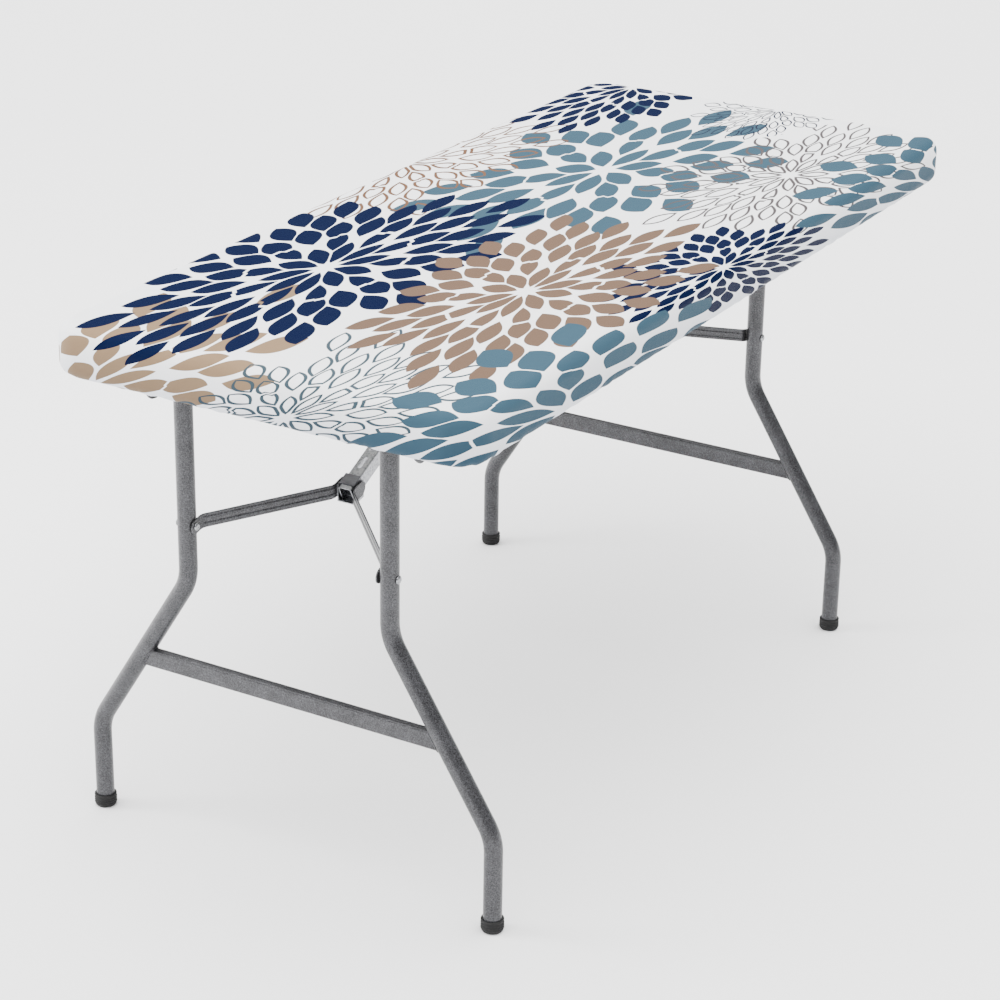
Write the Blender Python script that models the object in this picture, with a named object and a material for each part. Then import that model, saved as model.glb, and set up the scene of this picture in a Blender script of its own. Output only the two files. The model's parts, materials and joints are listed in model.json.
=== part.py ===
"""Folding table dressed with a fitted, elastic-edged tablecloth. Metres, +Z up, origin on the floor
under the middle of the table: +X along the table towards its far end, +Y across it."""

import math

import bmesh
import bpy
from mathutils import Matrix, Vector

# Driving dimensions of the whole object.
COVER_LENGTH = 1.480
COVER_WIDTH = 0.644
TABLE_HEIGHT = 0.740
CORNER_RADIUS = 0.050
CLOTH_THICKNESS = 0.0020
SOFT_GAP = 0.0005
GAP = 0.0003

# The cover's edge: a rounded top edge, a straight skirt and a hem that turns in under the rim.
EDGE_RADIUS = 0.022
SKIRT_BOTTOM_Z = 0.6862
ROLL_RADIUS = 0.018
CASING_INSET = 0.044
CASING_HEIGHT = 0.010
CASING_WALL = 0.0015

# Tabletop panel: a thin skin on a deep rim.
PANEL_THICKNESS = 0.050
PANEL_SKIN = 0.010
RIM_WIDTH = 0.030
RIM_FILLET = 0.006

# Steel tube of the leg frames, and the height of its bends.
TUBE_RADIUS = 0.0127
TUBE_WALL = 0.0012
PIVOT_TUBE_RADIUS = 0.0095
PIVOT_Z = 0.650
UPPER_BEND_Z = 0.385
LOWER_BEND_Z = 0.136
CROSSBAR_Z = 0.255
RIVET_Z = 0.467
LEG_TOP_Y = 0.158
FOOT_Y = 0.316
BEND_RADIUS = 0.070
FOOT_CAP_HEIGHT = 0.0190
FOOT_CAP_RADIUS = 0.0150
FOOT_CAP_RIB_RADIUS = 0.0158
FOOT_CAP_FLOOR = 0.0046
TUBE_END_Z = 0.0050
NEAR_FRAME_X = -0.663
FAR_FRAME_X = 0.402

# Rectangular tube of the lower crossbars.
CROSSBAR_HEIGHT = 0.025
CROSSBAR_DEPTH = 0.014
CROSSBAR_WALL = 0.0015

# Brace linkage, given from its leg frame: inboard distance and height of the two pivots.
KNUCKLE_INBOARD = 0.1524
KNUCKLE_Z = 0.501
STRUT_PIVOT_INBOARD = 0.513
STRUT_PIVOT_Z = 0.674
STRAP_HEIGHT = 0.020
STRAP_THICKNESS = 0.002
STRUT_WIDTH = 0.020
STRUT_HEIGHT = 0.021
STRUT_WALL = 0.0015
PIN_RADIUS = 0.0030
RIVET_HEAD_RADIUS = 0.0058
RIVET_HEAD_HEIGHT = 0.0030
PIN_HEAD_RADIUS = 0.0052
PIN_HEAD_HEIGHT = 0.0022
SHEET_WALL = 0.0015
YOKE_FLOOR = -0.0165
YOKE_LIP = 0.0080
CLEVIS_HALF_LENGTH = 0.0125
CLEVIS_SIDE_GAP = 0.0022
CLEVIS_WALL = 0.0020
RING_START = -0.0060
RING_END = 0.0120

# Side rails, pivot brackets and the middle support.
RAIL_Y = 0.253
RAIL_WIDTH = 0.030
RAIL_HALF_LENGTH = 0.680
RAIL_BOTTOM_Z = 0.6878
RAIL_WALL = 0.0015
BRACKET_EAR_Y = 0.2050
BRACKET_THICKNESS = 0.0030
BRACKET_HALF_LENGTH = 0.024
BRACKET_SHOULDER = 0.012
BUSH_RADIUS = 0.0120
SUPPORT_X = -0.1305
SUPPORT_WIDTH = 0.083
SUPPORT_BOTTOM_Z = 0.6920
SCREW_X = (-0.56, -0.24, 0.14, 0.60)
SCREW_RADIUS = 0.0020
SCREW_HEAD_RADIUS = 0.0045
SCREW_HEAD_HEIGHT = 0.0030
SCREW_LENGTH = 0.0090
SCREW_HOLE_RADIUS = SCREW_RADIUS + GAP

TUBE_SIDES = 18
ROUND_SIDES = 16
SCREW_SIDES = 8


def clear_scene():
    for thing in list(bpy.data.objects):
        bpy.data.objects.remove(thing, do_unlink=True)


def material(name, colour, roughness, metallic):
    made = bpy.data.materials.new(name)
    made.use_nodes = True
    shader = made.node_tree.nodes["Principled BSDF"]
    shader.inputs["Base Color"].default_value = (*colour, 1.0)
    shader.inputs["Roughness"].default_value = roughness
    shader.inputs["Metallic"].default_value = metallic
    return made


def finish(mesh_data, name, surface, rides_on=None, smooth=False):
    """A node from a bmesh: normals outwards, its material, and the pivot that it moves with."""
    bmesh.ops.recalc_face_normals(mesh_data, faces=mesh_data.faces)
    mesh = bpy.data.meshes.new(name)
    mesh_data.to_mesh(mesh)
    mesh_data.free()
    mesh.materials.append(surface)
    if smooth:
        mesh.shade_smooth()
        mesh.set_sharp_from_angle(angle=math.radians(35))
    made = bpy.data.objects.new(name, mesh)
    bpy.context.scene.collection.objects.link(made)
    if rides_on is not None:
        made.parent = rides_on
        made.matrix_parent_inverse = rides_on.matrix_world.inverted()
    return made


def pivot_at(name, place, rides_on=None):
    """An empty on a joint's axis, which the pieces of its body hang from."""
    empty = bpy.data.objects.new(name, None)
    bpy.context.scene.collection.objects.link(empty)
    if rides_on is not None:
        empty.parent = rides_on
        empty.matrix_parent_inverse = rides_on.matrix_world.inverted()
    empty.location = place
    bpy.context.view_layer.update()
    return empty


def arc(centre, radius, start, end, steps):
    """Points on a circle in a plane, angles in degrees."""
    found = []
    for step in range(steps + 1):
        angle = math.radians(start + (end - start) * step / steps)
        found.append((centre[0] + radius * math.cos(angle), centre[1] + radius * math.sin(angle)))
    return found


def rounded_rectangle(inset, steps=7):
    """The cover's outline in plan, moved in by inset."""
    half_x = COVER_LENGTH / 2
    half_y = COVER_WIDTH / 2
    radius = CORNER_RADIUS - inset
    corners = ((1, 1, 0), (-1, 1, 90), (-1, -1, 180), (1, -1, 270))
    found = []
    for side_x, side_y, start in corners:
        centre = (side_x * (half_x - CORNER_RADIUS), side_y * (half_y - CORNER_RADIUS))
        found.extend(arc(centre, radius, start, start + 90, steps))
    return found


def around_cover(profile, closed_section):
    """A section of (inset, z) points carried round the cover's outline. An open section is closed
    with a flat lid inside its first ring and another inside its last."""
    mesh_data = bmesh.new()
    rings = []
    for inset, height in profile:
        rings.append([mesh_data.verts.new((x, y, height)) for x, y in rounded_rectangle(inset)])
    pairs = list(zip(rings, rings[1:]))
    if closed_section:
        pairs.append((rings[-1], rings[0]))
    for lower, upper in pairs:
        join_rings(mesh_data, lower, upper)
    if not closed_section:
        mesh_data.faces.new(rings[0])
        mesh_data.faces.new(rings[-1])
    return mesh_data


def join_rings(mesh_data, first, second):
    count = len(first)
    for i in range(count):
        j = (i + 1) % count
        mesh_data.faces.new((first[i], first[j], second[j], second[i]))


def lathe(profile, place, axis, sides):
    """A closed (radius, height) profile turned about an axis through place."""
    mesh_data = bmesh.new()
    turn = Vector((0, 0, 1)).rotation_difference(Vector(axis)).to_matrix().to_4x4()
    matrix = Matrix.Translation(place) @ turn
    rings = []
    for radius, height in profile:
        if radius == 0:
            rings.append([mesh_data.verts.new(matrix @ Vector((0, 0, height)))])
            continue
        ring = [(radius * math.cos(2 * math.pi * i / sides), radius * math.sin(2 * math.pi * i / sides))
                for i in range(sides)]
        rings.append([mesh_data.verts.new(matrix @ Vector((x, y, height))) for x, y in ring])
    solid_core = len(rings[0]) == 1
    pairs = list(zip(rings, rings[1:]))
    if not solid_core:
        pairs.append((rings[-1], rings[0]))
    for first, second in pairs:
        if len(first) == 1:
            fan(mesh_data, first[0], second)
        elif len(second) == 1:
            fan(mesh_data, second[0], first)
        else:
            join_rings(mesh_data, first, second)
    return mesh_data


def fan(mesh_data, tip, ring):
    for i in range(len(ring)):
        mesh_data.faces.new((tip, ring[i], ring[(i + 1) % len(ring)]))


def extrude_outline(outline, place_point, depth):
    """A flat outline turned into a plate: place_point maps (a, b, c) to world, c runs over the depth."""
    mesh_data = bmesh.new()
    front = [mesh_data.verts.new(place_point(a, b, depth[0])) for a, b in outline]
    back = [mesh_data.verts.new(place_point(a, b, depth[1])) for a, b in outline]
    mesh_data.faces.new(front)
    mesh_data.faces.new(back)
    join_rings(mesh_data, front, back)
    return mesh_data


def rectangle(low_a, high_a, low_b, high_b):
    return [(low_a, low_b), (high_a, low_b), (high_a, high_b), (low_a, high_b)]


def bent_path(corners, radius, steps):
    """A polyline with each inner corner rounded to an arc."""
    path = [Vector(corners[0])]
    for before, corner, after in zip(corners, corners[1:], corners[2:]):
        here = Vector(corner)
        inward = (Vector(before) - here).normalized()
        outward = (Vector(after) - here).normalized()
        half = inward.angle(outward) / 2
        reach = radius / math.tan(half)
        centre = here + (inward + outward).normalized() * (radius / math.sin(half))
        start = here + inward * reach - centre
        end = here + outward * reach - centre
        turn = start.angle(end)
        for step in range(steps + 1):
            share = step / steps
            point = start * math.sin((1 - share) * turn) + end * math.sin(share * turn)
            path.append(centre + point / math.sin(turn))
    path.append(Vector(corners[-1]))
    return path


def hollow_tube(path, radius, wall, side, sides):
    """A round tube along a planar path, open at both ends. side is square to the path's plane."""
    mesh_data = bmesh.new()
    outer = []
    inner = []
    for i, point in enumerate(path):
        before = path[max(i - 1, 0)]
        after = path[min(i + 1, len(path) - 1)]
        other = (after - before).normalized().cross(side)
        for rings, size in ((outer, radius), (inner, radius - wall)):
            ring = []
            for step in range(sides):
                angle = 2 * math.pi * step / sides
                offset = side * math.cos(angle) + other * math.sin(angle)
                ring.append(mesh_data.verts.new(point + offset * size))
            rings.append(ring)
    for rings in (outer, inner):
        for first, second in zip(rings, rings[1:]):
            join_rings(mesh_data, first, second)
    join_rings(mesh_data, outer[0], inner[0])
    join_rings(mesh_data, outer[-1], inner[-1])
    return mesh_data


def cutter(mesh_data, name):
    made = finish(mesh_data, name, CUTTER_SURFACE)
    made.hide_render = True
    made.display_type = "WIRE"
    return made


def rod(name, start, end, radius, sides):
    """A solid round cutter between two points."""
    axis = Vector(end) - Vector(start)
    profile = [(0, 0), (radius, 0), (radius, axis.length), (0, axis.length)]
    return cutter(lathe(profile, start, axis, sides), name)


def boolean(target, tool, operation="DIFFERENCE"):
    step = target.modifiers.new(operation.lower() + "_" + tool.name, "BOOLEAN")
    step.operation = operation
    step.object = tool
    step.solver = "EXACT"


# --- cover -----------------------------------------------------------------------------------------


def make_cover():
    """The cloth over the panel's top and edge, the hem rolled in under it, and the hem's elastic."""
    top_in = TABLE_HEIGHT - CLOTH_THICKNESS
    centre = (EDGE_RADIUS, TABLE_HEIGHT - EDGE_RADIUS)
    outside = arc(centre, EDGE_RADIUS, 90, 180, 6) + [(0, SKIRT_BOTTOM_Z)]
    inside = [(CLOTH_THICKNESS, SKIRT_BOTTOM_Z)]
    inside += arc(centre, top_in - centre[1], 180, 90, 6)
    cloth = around_cover(outside + inside, closed_section=False)
    finish(cloth, "tablecloth", PRINTED_CLOTH, COVER_PIVOT, smooth=True)

    top = SKIRT_BOTTOM_Z - GAP
    centre = (ROLL_RADIUS, top)
    bottom = top - ROLL_RADIUS
    web = ROLL_RADIUS + 0.0035
    roll = arc(centre, ROLL_RADIUS, 180, 270, 5)
    roll += [(CASING_INSET, bottom), (CASING_INSET, bottom + CASING_WALL), (web, bottom + CASING_WALL)]
    roof = bottom + CASING_HEIGHT
    roll += [(web, roof - CASING_WALL), (CASING_INSET, roof - CASING_WALL), (CASING_INSET, roof)]
    roll += [(web - CASING_WALL, roof), (web - CASING_WALL, bottom + 0.0024)]
    roll += arc(centre, ROLL_RADIUS - CLOTH_THICKNESS, 270, 180, 5)
    finish(around_cover(roll, closed_section=True), "hem_casing", PRINTED_CLOTH, COVER_PIVOT, smooth=True)

    low = bottom + CASING_WALL + 0.0008
    high = roof - CASING_WALL - 0.0008
    band = rectangle(web + 0.0008, CASING_INSET - 0.002, low, high)
    finish(around_cover(band, closed_section=True), "hem_elastic", ELASTIC, COVER_PIVOT)


# --- table top ---------------------------------------------------------------------------------------


def make_panel():
    """One moulded panel: a flat skin with a deep rim all round, and blind holes for the rail screws."""
    inset = CLOTH_THICKNESS + SOFT_GAP
    top = TABLE_HEIGHT - inset
    low = top - PANEL_THICKNESS
    centre = (EDGE_RADIUS, TABLE_HEIGHT - EDGE_RADIUS)
    section = arc(centre, top - centre[1], 90, 180, 5)
    section += arc((inset + RIM_FILLET, low + RIM_FILLET), RIM_FILLET, 180, 270, 2)
    section += [(inset + RIM_WIDTH - 0.002, low), (inset + RIM_WIDTH, low + 0.002)]
    section += [(inset + RIM_WIDTH + 0.004, top - PANEL_SKIN)]
    panel = finish(around_cover(section, closed_section=False), "tabletop_panel", MOULDED_PANEL, smooth=True)
    for side in (-1, 1):
        for index, x in enumerate(SCREW_X):
            start = (x, side * RAIL_Y, top - PANEL_SKIN - 0.002)
            end = (x, side * RAIL_Y, top - 0.002)
            boolean(panel, rod(f"panel_hole_{side}_{index}", start, end, SCREW_HOLE_RADIUS, SCREW_SIDES))


def make_rails():
    """Two folded channels under the panel, open towards each other, with their screws."""
    roof = TABLE_HEIGHT - CLOTH_THICKNESS - SOFT_GAP - PANEL_SKIN - GAP
    for side, name in ((1, "left"), (-1, "right")):
        outer = RAIL_Y + RAIL_WIDTH / 2
        inner = RAIL_Y - RAIL_WIDTH / 2
        profile = [(inner, RAIL_BOTTOM_Z), (outer, RAIL_BOTTOM_Z), (outer, roof), (inner, roof)]
        profile += [(inner, roof - RAIL_WALL), (outer - RAIL_WALL, roof - RAIL_WALL)]
        profile += [(outer - RAIL_WALL, RAIL_BOTTOM_Z + RAIL_WALL), (inner, RAIL_BOTTOM_Z + RAIL_WALL)]
        ends = (-RAIL_HALF_LENGTH, RAIL_HALF_LENGTH)
        rail = extrude_outline(profile, lambda a, b, c, s=side: (c, s * a, b), ends)
        rail = finish(rail, f"{name}_side_rail", PAINTED_STEEL)
        seat = roof - RAIL_WALL
        head = seat - GAP
        head_bottom = head - SCREW_HEAD_HEIGHT
        for index, x in enumerate(SCREW_X):
            start = (x, side * RAIL_Y, seat - 0.002)
            end = (x, side * RAIL_Y, roof + 0.002)
            boolean(rail, rod(f"{name}_rail_hole_{index}", start, end, SCREW_HOLE_RADIUS, SCREW_SIDES))
            profile = [(0, head_bottom), (SCREW_HEAD_RADIUS * 0.7, head_bottom)]
            profile += [(SCREW_HEAD_RADIUS, head - SCREW_HEAD_HEIGHT / 2), (SCREW_HEAD_RADIUS, head)]
            profile += [(SCREW_RADIUS, head), (SCREW_RADIUS, head + SCREW_LENGTH), (0, head + SCREW_LENGTH)]
            screw = lathe(profile, (x, side * RAIL_Y, 0), (0, 0, 1), SCREW_SIDES)
            finish(screw, f"{name}_rail_screw_{index + 1}", ZINC_STEEL)


def make_pivot_bracket(end_name, side_name, frame_x, side):
    """An ear that hangs from the rail and carries one end of a frame's pivot tube in a nylon bush."""
    near = BRACKET_EAR_Y - BRACKET_THICKNESS / 2
    far = BRACKET_EAR_Y + BRACKET_THICKNESS / 2
    top = RAIL_BOTTOM_Z - GAP
    shoulder = top - BRACKET_SHOULDER
    outline = [(-BRACKET_HALF_LENGTH, top), (-BRACKET_HALF_LENGTH, shoulder)]
    outline += arc((0, PIVOT_Z), BUSH_RADIUS + 0.0036, 190, 350, 8)
    outline += [(BRACKET_HALF_LENGTH, shoulder), (BRACKET_HALF_LENGTH, top)]
    ear = extrude_outline(outline, lambda a, b, c: (frame_x + a, side * c, b), (near, far))
    ear = finish(ear, f"{end_name}_{side_name}_pivot_bracket", PAINTED_STEEL)
    flange = rectangle(-BRACKET_HALF_LENGTH, BRACKET_HALF_LENGTH, top - BRACKET_THICKNESS, top)
    flange_end = RAIL_Y + RAIL_WIDTH / 2 - 0.001
    flange = extrude_outline(flange, lambda a, b, c: (frame_x + a, side * c, b), (far - 0.001, flange_end))
    boolean(ear, cutter(flange, f"{end_name}_{side_name}_flange"), "UNION")
    hole = rod(f"{end_name}_{side_name}_ear_hole", (frame_x, side * (near - 0.01), PIVOT_Z),
               (frame_x, side * (far + 0.01), PIVOT_Z), BUSH_RADIUS + GAP, ROUND_SIDES)
    boolean(ear, hole)
    bore = PIVOT_TUBE_RADIUS + GAP
    collar = BUSH_RADIUS + 0.0025
    flange_y = near - GAP
    profile = [(bore, flange_y - 0.0020), (collar, flange_y - 0.0020), (collar, flange_y)]
    profile += [(BUSH_RADIUS, flange_y), (BUSH_RADIUS, far + 0.003), (bore, far + 0.003)]
    bush = lathe(profile, (frame_x, 0, PIVOT_Z), (0, side, 0), ROUND_SIDES)
    finish(bush, f"{end_name}_{side_name}_pivot_bush", NYLON, smooth=True)


def make_centre_support():
    """A channel between the rails, open upwards, that carries both strut clevises."""
    half = SUPPORT_WIDTH / 2
    roof = TABLE_HEIGHT - CLOTH_THICKNESS - SOFT_GAP - PANEL_SKIN - GAP
    inner = half - RAIL_WALL
    profile = [(-half, SUPPORT_BOTTOM_Z), (half, SUPPORT_BOTTOM_Z), (half, roof), (inner, roof)]
    profile += [(inner, SUPPORT_BOTTOM_Z + RAIL_WALL), (-inner, SUPPORT_BOTTOM_Z + RAIL_WALL)]
    profile += [(-inner, roof), (-half, roof)]
    reach = RAIL_Y - RAIL_WIDTH / 2 - GAP
    support = extrude_outline(profile, lambda a, b, c: (SUPPORT_X + a, c, b), (-reach, reach))
    finish(support, "centre_support", PAINTED_STEEL)


def strut_pivot_hole(name, pivot_x):
    """A cutter across the table at a strut's upper pivot."""
    start = (pivot_x, -0.03, STRUT_PIVOT_Z)
    end = (pivot_x, 0.03, STRUT_PIVOT_Z)
    return rod(name, start, end, PIN_RADIUS + GAP, ROUND_SIDES)


def brace_rivet_hole(name, frame_x, side):
    """A cutter through a leg tube and its strap at the brace rivet."""
    start = (frame_x, side * (LEG_TOP_Y - 3 * TUBE_RADIUS), RIVET_Z)
    end = (frame_x, side * (LEG_TOP_Y + 3 * TUBE_RADIUS), RIVET_Z)
    return rod(name, start, end, PIN_RADIUS + GAP, ROUND_SIDES)


def make_strut_clevis(end_name, pivot_x):
    """An inverted U under the middle support, with the pin that the strut turns on."""
    inner = STRUT_WIDTH / 2 + CLEVIS_SIDE_GAP
    outer = inner + CLEVIS_WALL
    top = SUPPORT_BOTTOM_Z - GAP
    roof = top - CLEVIS_WALL
    low = STRUT_PIVOT_Z - 0.010
    profile = [(-outer, low), (-inner, low), (-inner, roof), (inner, roof), (inner, low)]
    profile += [(outer, low), (outer, top), (-outer, top)]
    ends = (-CLEVIS_HALF_LENGTH, CLEVIS_HALF_LENGTH)
    clevis = extrude_outline(profile, lambda a, b, c: (pivot_x + c, a, b), ends)
    clevis = finish(clevis, f"{end_name}_strut_clevis", ZINC_STEEL)
    boolean(clevis, strut_pivot_hole(f"{end_name}_clevis_hole", pivot_x))
    seat = outer + GAP
    tip = seat + PIN_HEAD_HEIGHT
    edge = seat + 0.0010
    face = PIN_HEAD_RADIUS - 0.0010
    profile = [(0, -tip), (face, -tip), (PIN_HEAD_RADIUS, -edge), (PIN_HEAD_RADIUS, -seat)]
    profile += [(PIN_RADIUS, -seat), (PIN_RADIUS, seat), (PIN_HEAD_RADIUS, seat), (PIN_HEAD_RADIUS, edge)]
    profile += [(face, tip), (0, tip)]
    pin = lathe(profile, (pivot_x, 0, STRUT_PIVOT_Z), (0, 1, 0), ROUND_SIDES)
    finish(pin, f"{end_name}_strut_pin", ZINC_STEEL, smooth=True)


# --- leg frames --------------------------------------------------------------------------------------


def slant_y(height):
    """Centre line of a leg tube across the table, on its slanted stretch."""
    share = (UPPER_BEND_Z - height) / (UPPER_BEND_Z - LOWER_BEND_Z)
    return LEG_TOP_Y + (FOOT_Y - LEG_TOP_Y) * share


def make_leg_frame(end_name, frame_x, pivot):
    """One wishbone frame: two bent tubes on a pivot tube, a lower crossbar, and a cap on each foot."""
    reach = BRACKET_EAR_Y + 0.008
    ends = [Vector((frame_x, -reach, PIVOT_Z)), Vector((frame_x, reach, PIVOT_Z))]
    tube = hollow_tube(ends, PIVOT_TUBE_RADIUS, TUBE_WALL, Vector((1, 0, 0)), TUBE_SIDES)
    finish(tube, f"{end_name}_pivot_tube", HAMMERTONE, pivot, smooth=True)
    saddle = rod(f"{end_name}_saddle", ends[0], ends[1], PIVOT_TUBE_RADIUS + GAP, TUBE_SIDES)

    half = slant_y(CROSSBAR_Z)
    low = CROSSBAR_Z - CROSSBAR_HEIGHT / 2
    high = CROSSBAR_Z + CROSSBAR_HEIGHT / 2
    depth = CROSSBAR_DEPTH / 2
    mesh_data = bmesh.new()
    loops = []
    for inset in (0, CROSSBAR_WALL):
        outline = rectangle(-depth + inset, depth - inset, low + inset, high - inset)
        loops.append([[mesh_data.verts.new((frame_x + a, y, b)) for a, b in outline] for y in (-half, half)])
    for left, right in loops:
        join_rings(mesh_data, left, right)
    join_rings(mesh_data, loops[0][0], loops[1][0])
    join_rings(mesh_data, loops[0][1], loops[1][1])
    crossbar = finish(mesh_data, f"{end_name}_lower_crossbar", HAMMERTONE, pivot)

    for side, side_name in ((1, "left"), (-1, "right")):
        corners = [(frame_x, side * LEG_TOP_Y, PIVOT_Z), (frame_x, side * LEG_TOP_Y, UPPER_BEND_Z)]
        corners += [(frame_x, side * FOOT_Y, LOWER_BEND_Z), (frame_x, side * FOOT_Y, TUBE_END_Z)]
        path = bent_path(corners, BEND_RADIUS, 4)
        leg = hollow_tube(path, TUBE_RADIUS, TUBE_WALL, Vector((1, 0, 0)), TUBE_SIDES)
        leg = finish(leg, f"{end_name}_{side_name}_leg_tube", HAMMERTONE, pivot, smooth=True)
        boolean(leg, saddle)
        boolean(leg, brace_rivet_hole(f"{end_name}_{side_name}_rivet_hole", frame_x, side))
        start = (frame_x, side * LEG_TOP_Y, UPPER_BEND_Z)
        end = (frame_x, side * FOOT_Y, LOWER_BEND_Z)
        notch = rod(f"{end_name}_{side_name}_notch", start, end, TUBE_RADIUS + GAP, TUBE_SIDES)
        boolean(crossbar, notch)
        make_foot_cap(f"{end_name}_{side_name}_foot_cap", (frame_x, side * FOOT_Y, 0), pivot)
        make_leg_rivet(f"{end_name}_{side_name}_brace_rivet", frame_x, side, pivot)


def make_foot_cap(name, place, pivot):
    """A ribbed rubber cup pushed over the end of a leg tube."""
    bore = TUBE_RADIUS + GAP
    wall = FOOT_CAP_RADIUS
    rib = FOOT_CAP_RIB_RADIUS
    profile = [(0, 0), (wall - 0.0025, 0), (wall, 0.0020), (wall, 0.0045)]
    for rib_z in (0.0055, 0.0105):
        profile += [(rib, rib_z), (rib, rib_z + 0.0030), (wall, rib_z + 0.0040)]
    profile += [(wall, FOOT_CAP_HEIGHT), (bore, FOOT_CAP_HEIGHT), (bore, FOOT_CAP_FLOOR)]
    profile += [(0, FOOT_CAP_FLOOR)]
    finish(lathe(profile, place, (0, 0, 1), TUBE_SIDES), name, BLACK_RUBBER, pivot, smooth=True)


def make_leg_rivet(name, frame_x, side, pivot):
    """A rivet across the tube, which the brace strap turns on."""
    inner = LEG_TOP_Y - TUBE_RADIUS - 2 * GAP - STRAP_THICKNESS - GAP
    outer = LEG_TOP_Y + TUBE_RADIUS + GAP
    head = RIVET_HEAD_RADIUS
    crown = RIVET_HEAD_HEIGHT
    profile = [(0, inner - crown), (head * 0.62, inner - crown * 0.87), (head, inner - crown / 3)]
    profile += [(head, inner), (PIN_RADIUS, inner), (PIN_RADIUS, outer), (head, outer)]
    profile += [(head, outer + crown / 3), (head * 0.62, outer + crown * 0.87), (0, outer + crown)]
    rivet = lathe(profile, (frame_x, 0, RIVET_Z), (0, side, 0), ROUND_SIDES)
    finish(rivet, name, ZINC_STEEL, pivot, smooth=True)


# --- braces ------------------------------------------------------------------------------------------


def make_brace(end_name, frame_x, inboard, pivot):
    """Two straps from the leg tubes to a yoke that the strut lies in. inboard is +1 or -1 along X."""
    slope = (KNUCKLE_Z - RIVET_Z) / KNUCKLE_INBOARD
    outer_y = LEG_TOP_Y - TUBE_RADIUS - 2 * GAP - STRAP_THICKNESS / 2
    cheek_in = STRUT_WIDTH / 2 + 0.0026
    cheek_out = cheek_in + SHEET_WALL
    inner_y = cheek_out + GAP + STRAP_THICKNESS / 2

    plan = [(-0.010, outer_y), (0.013, outer_y), (KNUCKLE_INBOARD - 0.018, inner_y)]
    plan += [(KNUCKLE_INBOARD + 0.010, inner_y)]
    for side, side_name in ((1, "left"), (-1, "right")):
        mesh_data = bmesh.new()
        rings = []
        for i, (reach, y) in enumerate(plan):
            before = Vector(plan[max(i - 1, 0)])
            after = Vector(plan[min(i + 1, len(plan) - 1)])
            along = (after - before).normalized()
            across = Vector((-along.y, along.x)) * STRAP_THICKNESS / 2
            ring = []
            for direction, rise in ((1, -1), (1, 1), (-1, 1), (-1, -1)):
                reach_here = reach + direction * across.x
                height = RIVET_Z + slope * reach_here + rise * STRAP_HEIGHT / 2
                place = (frame_x + inboard * reach_here, side * (y + direction * across.y), height)
                ring.append(mesh_data.verts.new(place))
            rings.append(ring)
        for first, second in zip(rings, rings[1:]):
            join_rings(mesh_data, first, second)
        mesh_data.faces.new(rings[0])
        mesh_data.faces.new(rings[-1])
        strap = finish(mesh_data, f"{end_name}_{side_name}_brace_strap", HAMMERTONE, pivot)
        boolean(strap, brace_rivet_hole(f"{end_name}_{side_name}_strap_hole", frame_x, side))

    seat = YOKE_FLOOR + SHEET_WALL
    profile = [(-cheek_out, YOKE_FLOOR), (cheek_out, YOKE_FLOOR), (cheek_out, YOKE_LIP)]
    profile += [(cheek_in, YOKE_LIP), (cheek_in, seat), (-cheek_in, seat), (-cheek_in, YOKE_LIP)]
    profile += [(-cheek_out, YOKE_LIP)]

    def place(across, up, along):
        reach = KNUCKLE_INBOARD + along
        return (frame_x + inboard * reach, across, RIVET_Z + slope * reach + up)

    finish(extrude_outline(profile, place, (-0.012, 0.010)), f"{end_name}_knuckle_yoke", ZINC_STEEL, pivot)


def make_strut(end_name, frame_x, inboard, strut_pivot, ring_pivot):
    """The upper brace link, an inverted channel, and the ring that slides along it."""
    run = STRUT_PIVOT_INBOARD - KNUCKLE_INBOARD
    rise = STRUT_PIVOT_Z - KNUCKLE_Z
    length = math.hypot(run, rise)
    along_x = run / length
    along_z = rise / length

    def place(across, up, along):
        reach = KNUCKLE_INBOARD + along * along_x - up * along_z
        return (frame_x + inboard * reach, across, KNUCKLE_Z + along * along_z + up * along_x)

    half = STRUT_WIDTH / 2
    tall = STRUT_HEIGHT / 2
    inner = half - STRUT_WALL
    profile = [(-half, -tall), (-inner, -tall), (-inner, tall - STRUT_WALL), (inner, tall - STRUT_WALL)]
    profile += [(inner, -tall), (half, -tall), (half, tall), (-half, tall)]
    strut = extrude_outline(profile, place, (-0.013, length + 0.007))
    strut = finish(strut, f"{end_name}_upper_strut", ZINC_STEEL, strut_pivot)
    pivot_x = frame_x + inboard * STRUT_PIVOT_INBOARD
    boolean(strut, strut_pivot_hole(f"{end_name}_strut_hole", pivot_x))

    wall = SHEET_WALL
    low_y = half + GAP
    low_z = tall + GAP
    mesh_data = bmesh.new()
    rings = []
    for grow, along in ((0, RING_START), (wall, RING_START), (wall, RING_END), (0, RING_END)):
        outline = rectangle(-low_y - grow, low_y + grow, -low_z - grow, low_z + grow)
        rings.append([mesh_data.verts.new(place(a, b, along)) for a, b in outline])
    for first, second in zip(rings, rings[1:] + rings[:1]):
        join_rings(mesh_data, first, second)
    finish(mesh_data, f"{end_name}_lock_ring", DARK_STEEL, ring_pivot)


# --- materials and assembly --------------------------------------------------------------------------

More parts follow.
